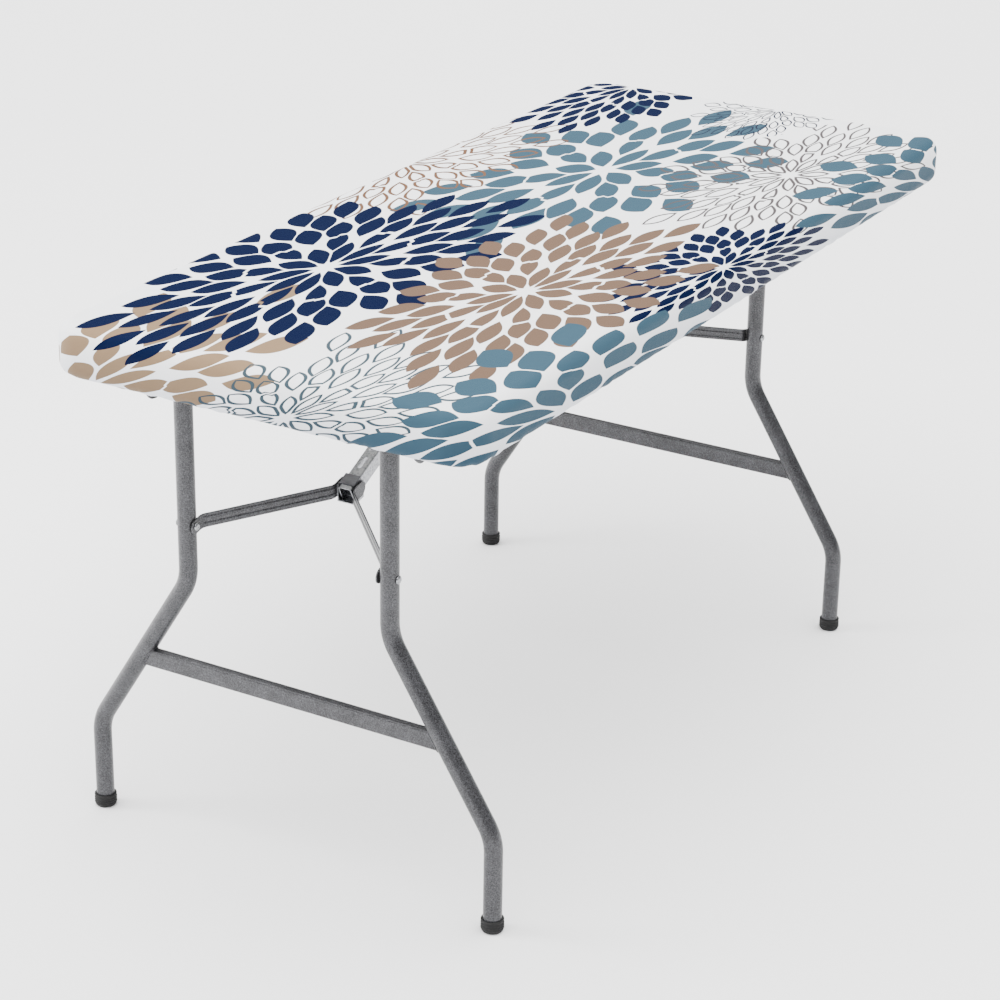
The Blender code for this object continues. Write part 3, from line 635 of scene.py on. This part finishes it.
def make_stitches():
    """The row of thread stitches through the casing's edge, seen from under the hem."""
    mesh_data = bmesh.new()
    roll = SKIRT_Z - HEM_Z
    inset = roll + 0.0045
    for number in range(STITCHES):
        rings = []
        for share_along, sink in ((0.10, 0.0004), (0.22, 0.0), (0.58, 0.0), (0.70, 0.0004)):
            share = (number + share_along) / STITCHES
            ahead, _ = outline_point(share + 0.01 / STITCHES, inset)
            place, _ = outline_point(share, inset)
            along = (ahead - place).normalized()
            middle = Vector((place.x, place.y, HEM_Z - 0.0001 + sink + gather(share, 0.0008)))
            side = Vector((along.y, -along.x, 0))
            ring = []
            for step in range(STITCH_SIDES):
                angle = math.tau * step / STITCH_SIDES
                offset = side * math.cos(angle) + Vector((0, 0, 1)) * math.sin(angle)
                ring.append(mesh_data.verts.new(middle + offset * THREAD_RADIUS))
            rings.append(ring)
        for first, second in zip(rings, rings[1:]):
            for i in range(STITCH_SIDES):
                j = (i + 1) % STITCH_SIDES
                mesh_data.faces.new((first[i], first[j], second[j], second[i]))
        mesh_data.faces.new(rings[0])
        mesh_data.faces.new(rings[-1])
    bmesh.ops.recalc_face_normals(mesh_data, faces=mesh_data.faces)
    return add_piece("hem_stitches", mesh_data, (THREAD,), "cover", None)


def skin(rings, closed_run=False):
    """A closed surface through rings of points. A run that isn't closed is capped at both ends."""
    mesh_data = bmesh.new()
    loops = [[mesh_data.verts.new(point) for point in ring] for ring in rings]
    following = loops[1:] + loops[:1] if closed_run else loops[1:]
    for first, second in zip(loops, following):
        for i, corner in enumerate(first):
            j = (i + 1) % len(first)
            mesh_data.faces.new((corner, first[j], second[j], second[i]))
    if not closed_run:
        mesh_data.faces.new(loops[0])
        mesh_data.faces.new(loops[-1])
    bmesh.ops.recalc_face_normals(mesh_data, faces=mesh_data.faces)
    return mesh_data


def round_corners(corners, radius, steps):
    """A path through corners, each turned into an arc."""
    path = [Vector(corners[0])]
    for before, corner, after in zip(corners, corners[1:], corners[2:]):
        corner = Vector(corner)
        into = (Vector(before) - corner).normalized()
        away = (Vector(after) - corner).normalized()
        half = into.angle(away) / 2
        back = radius / math.tan(half)
        middle = corner + (into + away).normalized() * radius / math.sin(half)
        start = corner + into * back - middle
        turn = start.cross(corner + away * back - middle).normalized()
        for step in range(steps + 1):
            angle = (math.pi - 2 * half) * step / steps
            path.append(middle + Matrix.Rotation(angle, 3, turn) @ start)
    path.append(Vector(corners[-1]))
    return path


def tube_rings(path, radius, side, sides=40):
    """Circles along a path in a plane. side is square to that plane."""
    rings = []
    for i, point in enumerate(path):
        along = (path[min(i + 1, len(path) - 1)] - path[max(i - 1, 0)]).normalized()
        other = along.cross(side)
        ring = []
        for step in range(sides):
            angle = math.tau * step / sides
            ring.append(point + (side * math.cos(angle) + other * math.sin(angle)) * radius)
        rings.append(ring)
    return rings


def turned(profile, place, sides=48):
    """A round piece about the vertical. profile is (radius, height) points from the bottom up."""
    rings = []
    for radius, height in profile:
        ring = []
        for step in range(sides):
            angle = math.tau * step / sides
            ring.append(Vector((radius * math.cos(angle), radius * math.sin(angle), height)) + place)
        rings.append(ring)
    return skin(rings)


def weld_bead(path, outwards, radius, name, body):
    """A rough bead of weld along a closed path. outwards gives the direction away from the part."""
    rings = []
    count = len(path)
    for i, point in enumerate(path):
        along = (path[(i + 1) % count] - path[i - 1]).normalized()
        out = outwards[i] - along * outwards[i].dot(along)
        out.normalize()
        other = along.cross(out)
        lump = radius * (1 + 0.22 * math.sin(i * 1.9) + 0.12 * math.sin(i * 0.77 + 1))
        ring = []
        for step in range(8):
            angle = math.tau * step / 8
            ring.append(point + (out * math.cos(angle) + other * math.sin(angle)) * lump)
        rings.append(ring)
    bead = skin(rings, closed_run=True)
    add_piece(name, bead, (SURFACES["hammertone_steel"],), body, 80)


# Leg frames and braces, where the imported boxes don't give a size.
UPPER_BEND_Z = 0.385
LOWER_BEND_Z = 0.136
BEND_RADIUS = 0.070
CROSSBAR_CORNER_RADIUS = 0.0028
PIVOT_WELD_RADIUS = 0.0015
CROSSBAR_WELD_RADIUS = 0.0017
WELD_STEP = 0.0012
RIVET_HEAD_HEIGHT = 0.0030
STRAP_THICKNESS = 0.002
STRAP_HEIGHT = 0.020
STRAP_BEND_RADIUS = 0.012
STRAP_STEP = 0.0015
STRUT_HALF_HEIGHT = 0.0105
STRUT_WALL = 0.0015
STRUT_SHOULDER_RADIUS = 0.0035
SLOT_HALF_LENGTH = 0.0110
SLOT_HALF_WIDTH = 0.0030
SLOT_ALONG = 0.034
STOP_RADIUS = 0.0042
STOP_HEIGHT = 0.0026


class LegFrame:
    """Where one end's leg frame stands: its plane, its pivot, and its tubes."""

    def __init__(self, end):
        low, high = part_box(f"{end}_left_leg_tube")
        self.end = end
        self.body = BODY_OF[f"{end}_left_leg_tube"]
        self.x = (low.x + high.x) / 2
        self.radius = (high.x - low.x) / 2
        self.top_y = low.y + self.radius
        self.foot_y = high.y - self.radius
        self.bottom_z = low.z
        self.pivot_z = JOINTS[f"{end}_leg_fold"]["pos_m"][2]
        self.slope = (self.foot_y - self.top_y) / (UPPER_BEND_Z - LOWER_BEND_Z)

    def slant_y(self, height):
        return self.top_y + (UPPER_BEND_Z - height) * self.slope


def make_leg_tubes(legs):
    """The two bent tubes of a leg frame, welded to its pivot tube."""
    pivot_low, pivot_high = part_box(f"{legs.end}_pivot_tube")
    pivot_radius = (pivot_high.x - pivot_low.x) / 2
    for side, sign in (("left", 1), ("right", -1)):
        node = f"{legs.end}_{side}_leg_tube"
        run = ((legs.top_y, legs.pivot_z + 0.002), (legs.top_y, UPPER_BEND_Z),
               (legs.foot_y, LOWER_BEND_Z), (legs.foot_y, legs.bottom_z))
        path = round_corners([(legs.x, sign * y, z) for y, z in run], BEND_RADIUS, 14)
        tube = skin(tube_rings(path, legs.radius, Vector((1, 0, 0))))
        surfaces = (SURFACES["hammertone_steel"],)
        piece = add_piece(node + "_bent", tube, surfaces, legs.body, 50)
        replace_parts(piece, node)
        for face in (-1, 1):
            y = sign * legs.top_y + face * legs.radius * 0.93
            path = []
            for step in range(36):
                angle = math.tau * step / 36
                out = Vector((math.cos(angle), 0, math.sin(angle)))
                path.append(Vector((legs.x, y, legs.pivot_z)) + out * pivot_radius)
            outwards = [Vector((0, face, 0))] * len(path)
            label = "inner" if face * sign < 0 else "outer"
            name = f"{legs.end}_{side}_pivot_weld_{label}"
            weld_bead(path, outwards, PIVOT_WELD_RADIUS, name, legs.body)


def rounded_box_outline(half_a, half_b, radius, steps=5):
    """A rectangle about the middle with round corners, as (a, b) points."""
    found = []
    for sign_a, sign_b, start in ((1, 1, 0), (-1, 1, 90), (-1, -1, 180), (1, -1, 270)):
        for step in range(steps + 1):
            angle = math.radians(start + 90 * step / steps)
            found.append((sign_a * (half_a - radius) + radius * math.cos(angle),
                          sign_b * (half_b - radius) + radius * math.sin(angle)))
    return found


def make_crossbar(legs):
    """The lower crossbar, cut to meet the slanted tubes, with a weld round each end."""
    node = f"{legs.end}_lower_crossbar"
    low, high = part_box(node)
    middle_z = (low.z + high.z) / 2
    outline = rounded_box_outline((high.x - low.x) / 2, (high.z - low.z) / 2, CROSSBAR_CORNER_RADIUS)
    lean = math.cos(math.atan(legs.slope))
    rings = []
    beads = {1: ([], []), -1: ([], [])}
    for sign in (-1, 1):
        ring = []
        for a, b in outline:
            inside = math.sqrt(legs.radius ** 2 - a ** 2) / lean
            y = legs.slant_y(middle_z + b) - inside
            ring.append(Vector((legs.x + a, sign * (y + 0.003), middle_z + b)))
            beads[sign][0].append(Vector((legs.x + a, sign * y, middle_z + b)))
            beads[sign][1].append(Vector((a, -sign * 0.006, b)))
        rings.append(ring)
    surfaces = (SURFACES["hammertone_steel"],)
    bar = add_piece(node + "_tube", skin(rings), surfaces, legs.body, 40)
    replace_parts(bar, node)
    for sign, side in ((1, "left"), (-1, "right")):
        path, outwards = beads[sign]
        fine_path = []
        fine_out = []
        for i, point in enumerate(path):
            following = path[(i + 1) % len(path)]
            pieces = max(1, round((following - point).length / WELD_STEP))
            for step in range(pieces):
                fine_path.append(point.lerp(following, step / pieces))
                fine_out.append(outwards[i].lerp(outwards[(i + 1) % len(path)], step / pieces))
        name = f"{legs.end}_{side}_crossbar_weld"
        weld_bead(fine_path, fine_out, CROSSBAR_WELD_RADIUS, name, legs.body)


def make_foot_caps(legs):
    """Ribbed rubber caps with a rolled foot and a collar at the mouth."""
    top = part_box(f"{legs.end}_left_foot_cap")[1].z
    profile = [(0.0001, 0.0), (0.0105, 0.0), (0.0122, 0.0004), (0.0138, 0.0013), (0.0148, 0.0028)]
    for rib_z in (0.0045, 0.0080, 0.0115):
        profile += [(0.0149, rib_z), (0.0155, rib_z + 0.0005), (0.0158, rib_z + 0.0012)]
        profile += [(0.0155, rib_z + 0.0019), (0.0149, rib_z + 0.0024)]
    profile += [(0.0149, top - 0.0034), (0.0154, top - 0.0030), (0.0156, top - 0.0018)]
    profile += [(0.0153, top - 0.0005), (0.0145, top)]
    profile += [(legs.radius + 0.0002, top - 0.0002), (legs.radius - 0.0006, top - 0.0030)]
    for side, sign in (("left", 1), ("right", -1)):
        node = f"{legs.end}_{side}_foot_cap"
        shape = turned(profile, Vector((legs.x, sign * legs.foot_y, 0)))
        cap = add_piece(node + "_ribbed", shape, (SURFACES["black_rubber"],), legs.body, 50)
        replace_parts(cap, node)


def rivet_head(centre, out, radius, height):
    """Rings of a domed rivet head that stands on a face, with a small dimple in its crown."""
    side = Vector((1, 0, 0))
    other = out.cross(side)
    rings = []
    dome = ((0.92, -0.06), (1.0, 0.10), (0.98, 0.28), (0.88, 0.55), (0.68, 0.82), (0.44, 0.97))
    dimple = ((0.30, 0.98), (0.22, 0.86), (0.02, 0.80))
    for share, rise in dome + dimple:
        ring = []
        for step in range(32):
            angle = math.tau * step / 32
            flat = side * math.cos(angle) + other * math.sin(angle)
            ring.append(centre + flat * radius * share + out * height * rise)
        rings.append(ring)
    return rings


def make_rivets(legs):
    """The rivet through each leg tube that a brace strap turns on."""
    rivet_z = JOINTS[f"{legs.end}_brace_fold"]["pos_m"][2]
    for side, sign in (("left", 1), ("right", -1)):
        node = f"{legs.end}_{side}_brace_rivet"
        low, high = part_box(node)
        mesh_data = bmesh.new()
        radius = (high.x - low.x) / 2
        for y, out in ((low.y + RIVET_HEAD_HEIGHT, -1), (high.y - RIVET_HEAD_HEIGHT, 1)):
            centre = Vector((legs.x, y, rivet_z))
            part = skin(rivet_head(centre, Vector((0, out, 0)), radius, RIVET_HEAD_HEIGHT))
            mesh = bpy.data.meshes.new("rivet_head")
            part.to_mesh(mesh)
            part.free()
            mesh_data.from_mesh(mesh)
            bpy.data.meshes.remove(mesh)
        rivet = add_piece(node + "_domed", mesh_data, (SURFACES["zinc_steel"],), legs.body, 60)
        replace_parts(rivet, node)


def strap_section():
    """A strap's section as (thickness, height) points: flat bar with two pressed grooves."""
    face = []
    steps = 44
    for step in range(steps + 1):
        height = -0.5 + step / steps
        groove = 0.0
        for middle in (-0.22, 0.22):
            groove += max(0.0, 1 - ((height - middle) / 0.10) ** 2)
        edge = max(0.0, (abs(height) - 0.46) / 0.04)
        face.append((0.5 - 0.42 * groove - 0.3 * edge ** 2, height, -0.5 - 0.42 * groove + 0.3 * edge ** 2))
    outer = [(front, height) for front, height, _ in face]
    inner = [(back, height) for _, height, back in reversed(face)]
    return outer + inner


def make_straps(legs, inboard):
    """The two flat straps of a brace, bent in plan from the leg tubes to the knuckle."""
    body = BODY_OF[f"{legs.end}_left_brace_strap"]
    rivet_z = JOINTS[f"{legs.end}_brace_fold"]["pos_m"][2]
    yoke_low, yoke_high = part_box(f"{legs.end}_knuckle_yoke")
    knuckle = abs((yoke_low.x + yoke_high.x) / 2 - legs.x) + 0.001
    strap_low, strap_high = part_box(f"{legs.end}_left_brace_strap")
    outer_y = strap_high.y - STRAP_THICKNESS / 2
    inner_y = yoke_high.y + 0.0003 + STRAP_THICKNESS / 2
    reach_end = max(abs(strap_low.x - legs.x), abs(strap_high.x - legs.x))
    slope = (strap_high.z - strap_low.z - STRAP_HEIGHT) / (strap_high.x - strap_low.x)
    corners = [(-0.0095, outer_y, 0), (0.013, outer_y, 0)]
    corners += [(knuckle - 0.018, inner_y, 0), (reach_end, inner_y, 0)]
    path = round_corners(corners, STRAP_BEND_RADIUS, 6)
    fine = [path[0]]
    for point in path[1:]:
        start = fine[-1]
        gap = (point - start).length
        count = math.ceil(gap / STRAP_STEP) if gap > 0.002 else 1
        fine += [start.lerp(point, step / count) for step in range(1, count + 1)]
    section = strap_section()
    for side, sign in (("left", 1), ("right", -1)):
        node = f"{legs.end}_{side}_brace_strap"
        rings = []
        for i, point in enumerate(fine):
            along = (fine[min(i + 1, len(fine) - 1)] - fine[max(i - 1, 0)]).normalized()
            across = Vector((-along.y, along.x, 0))
            from_start = point.x - fine[0].x
            from_end = fine[-1].x - point.x
            tip = min(from_start, from_end)
            round_off = math.sqrt(max(0.0, 1 - (1 - min(1.0, (tip + 0.0004) / 0.010)) ** 2))
            grooved = min(1.0, max(0.0, (tip - 0.018) / 0.010))
            ring = []
            for thick, height in section:
                flat = 0.5 if thick > 0 else -0.5
                thick = flat + (thick - flat) * grooved
                place = point + across * thick * STRAP_THICKNESS
                rise = rivet_z + slope * place.x + height * STRAP_HEIGHT * round_off
                ring.append(Vector((legs.x + inboard * place.x, sign * place.y, rise)))
            rings.append(ring)
        surfaces = (SURFACES["hammertone_steel"],)
        strap = add_piece(node + "_pressed", skin(rings), surfaces, body, 50)
        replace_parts(strap, node)


def make_strut(legs, inboard):
    """The upper strut: an inverted channel with round shoulders, a slot and a stop near its lower end."""
    node = f"{legs.end}_upper_strut"
    body = BODY_OF[node]
    pivot_x, _, pivot_z = JOINTS[f"{legs.end}_strut_fold"]["pos_m"]
    ring_low, ring_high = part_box(f"{legs.end}_lock_ring")
    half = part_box(node)[1].y
    lower = Vector(((ring_low.x + ring_high.x) / 2, 0, (ring_low.z + ring_high.z) / 2))
    upper = Vector((pivot_x, 0, pivot_z))
    along = (upper - lower).normalized()
    up = Vector((-inboard * along.z, 0, inboard * along.x))
    tall = STRUT_HALF_HEIGHT
    outline = []
    shoulder = STRUT_SHOULDER_RADIUS
    for radius, inset in ((shoulder, 0.0), (shoulder - STRUT_WALL, STRUT_WALL)):
        line = [(-(half - inset), -tall)]
        for sign, start in ((-1, 180), (1, 90)):
            for step in range(7):
                angle = math.radians(start - 90 * step / 6)
                line.append((sign * (half - shoulder) + radius * math.cos(angle),
                             tall - shoulder + radius * math.sin(angle)))
        line.append((half - inset, -tall))
        outline += line if inset == 0 else line[::-1]
    rings = []
    length = (upper - lower).length
    for run in (-0.016, length + 0.007):
        rings.append([lower + along * run + up * b + Vector((0, a, 0)) for a, b in outline])
    piece = add_piece(node + "_channel", skin(rings), (SURFACES["zinc_steel"],), body, 40)
    cutter_rings = []
    for depth in (-0.004, 0.004):
        ring = []
        for a, b in rounded_box_outline(SLOT_HALF_LENGTH, SLOT_HALF_WIDTH, SLOT_HALF_WIDTH - 0.0001, 8):
            ring.append(lower + along * (a + SLOT_ALONG) + up * (tall + depth) + Vector((0, b, 0)))
        cutter_rings.append(ring)
    mesh = bpy.data.meshes.new("slot_cutter")
    shape = skin(cutter_rings)
    shape.to_mesh(mesh)
    shape.free()
    cutter = bpy.data.objects.new("slot_cutter", mesh)
    slot = piece.modifiers.new("slot", "BOOLEAN")
    slot.object = cutter
    slot.solver = "EXACT"
    graph = bpy.context.evaluated_depsgraph_get()
    bpy.context.scene.collection.objects.link(cutter)
    graph.update()
    cut = bpy.data.meshes.new_from_object(piece.evaluated_get(graph))
    piece.modifiers.clear()
    piece.data = cut
    bpy.data.objects.remove(cutter)
    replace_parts(piece, node)
    travel = JOINTS[f"{legs.end}_lock_ring_slide"]["range_m"][1]
    stop = lower + along * (0.015 + travel) + up * (tall - 0.0003)
    side = Vector((0, 1, 0))
    rings = []
    for share, rise in ((1.0, 0.0), (0.98, 0.25), (0.86, 0.55), (0.62, 0.85), (0.30, 0.98), (0.02, 1.0)):
        ring = []
        for step in range(24):
            angle = math.tau * step / 24
            flat = side * math.cos(angle) + along * math.sin(angle)
            ring.append(stop + flat * STOP_RADIUS * share + up * STOP_HEIGHT * rise)
        rings.append(ring)
    add_piece(f"{legs.end}_strut_stop", skin(rings), (SURFACES["zinc_steel"],), body, 60)


PANEL_EDGE_RADIUS = 0.0020
SMALL_EDGE_RADIUS = 0.0004


def refine(node, bevel):
    """A finer copy of a CAD node: its facets joined, its hard edges rounded and its round faces smooth."""
    source = frame["nodes"][node]
    mesh_data = bmesh.new()
    mesh_data.from_mesh(source.data)
    bmesh.ops.remove_doubles(mesh_data, verts=mesh_data.verts, dist=1e-6)
    flat = math.radians(0.5)
    bmesh.ops.dissolve_limit(mesh_data, angle_limit=flat, verts=mesh_data.verts, edges=mesh_data.edges)
    slot = SLOT_OF[node]
    piece = add_piece(node + "_piece", mesh_data, (SURFACES[slot],), BODY_OF[node])
    rounding = piece.modifiers.new("rounded_edges", "BEVEL")
    rounding.width = bevel
    rounding.segments = 2
    rounding.limit_method = "ANGLE"
    rounding.angle_limit = math.radians(50)
    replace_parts(piece, node)


make_cover()
for end_name, towards in (("near", 1), ("far", -1)):
    leg_frame = LegFrame(end_name)
    make_leg_tubes(leg_frame)
    make_crossbar(leg_frame)
    make_foot_caps(leg_frame)
    make_rivets(leg_frame)
    make_straps(leg_frame, towards)
    make_strut(leg_frame, towards)
STOOD_FOR = {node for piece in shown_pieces() for node in piece.get("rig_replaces", [])}
for node in sorted(set(frame["nodes"]) - STOOD_FOR):
    refine(node, PANEL_EDGE_RADIUS if node == "tabletop_panel" else SMALL_EDGE_RADIUS)


# --- studio ------------------------------------------------------------------------------------------


def area_light(name, place, target, size, power):
    data = bpy.data.lights.new(name, "AREA")
    data.shape = "RECTANGLE"
    data.size, data.size_y = size
    data.energy = power
    lamp = bpy.data.objects.new(name, data)
    lamp.location = place
    lamp.rotation_euler = (Vector(target) - Vector(place)).to_track_quat("-Z", "Y").to_euler()
    bpy.context.scene.collection.objects.link(lamp)


def make_studio():
    """A pale floor under a wide soft sun, a dim white surround and one soft side light."""
    mesh_data = bmesh.new()
    bmesh.ops.create_grid(mesh_data, x_segments=2, y_segments=2, size=12)
    mesh = bpy.data.meshes.new("floor")
    mesh_data.to_mesh(mesh)
    mesh_data.free()
    surface, graph, shader, place = start_material("floor", Roughness=0.9, Specular_IOR_Level=0.1)
    tint = graph.remap(graph.noise(place, 0.6, 2.0), 0.3, 0.7)
    graph.put(shader.inputs["Base Color"], graph.mix(tint, (0.93, 0.93, 0.935, 1), (0.95, 0.95, 0.95, 1)))
    mesh.materials.append(surface)
    floor = bpy.data.objects.new("floor", mesh)
    bpy.context.scene.collection.objects.link(floor)

    world = bpy.data.worlds.new("studio")
    world.use_nodes = True
    backdrop = world.node_tree.nodes["Background"]
    backdrop.inputs["Color"].default_value = (1.0, 1.0, 1.0, 1.0)
    backdrop.inputs["Strength"].default_value = 0.5
    bpy.context.scene.world = world

    data = bpy.data.lights.new("overhead", "SUN")
    data.energy = 9.5
    data.angle = math.radians(100)
    lamp = bpy.data.objects.new("overhead", data)
    bpy.context.scene.collection.objects.link(lamp)
    area_light("key", (-2.2, 3.4, 1.6), (0, 0, 0.5), (1.6, 2.6), 180)


# The camera stands at the near right, a little above the table, and looks down its length.
CAMERA_PLACE = Vector((-3.3484, -1.8713, 1.940))
CAMERA_YAW = 0.5246
CAMERA_PITCH = 0.4049
CAMERA_ROLL = 0.0157
CAMERA_LENS = 99.83


def make_camera():
    level = Vector((math.cos(CAMERA_YAW), math.sin(CAMERA_YAW), 0))
    ahead = math.cos(CAMERA_PITCH) * level - math.sin(CAMERA_PITCH) * Vector((0, 0, 1))
    right = ahead.cross(Vector((0, 0, 1))).normalized()
    up = right.cross(ahead)
    tilted_right = math.cos(CAMERA_ROLL) * right + math.sin(CAMERA_ROLL) * up
    tilted_up = math.cos(CAMERA_ROLL) * up - math.sin(CAMERA_ROLL) * right
    data = bpy.data.cameras.new("camera")
    data.lens = CAMERA_LENS
    data.sensor_width = 36
    camera = bpy.data.objects.new("camera", data)
    axes = Matrix((tilted_right, tilted_up, -ahead)).transposed().to_4x4()
    camera.matrix_world = Matrix.Translation(CAMERA_PLACE) @ axes
    bpy.context.scene.collection.objects.link(camera)
    bpy.context.scene.camera = camera


make_studio()
make_camera()
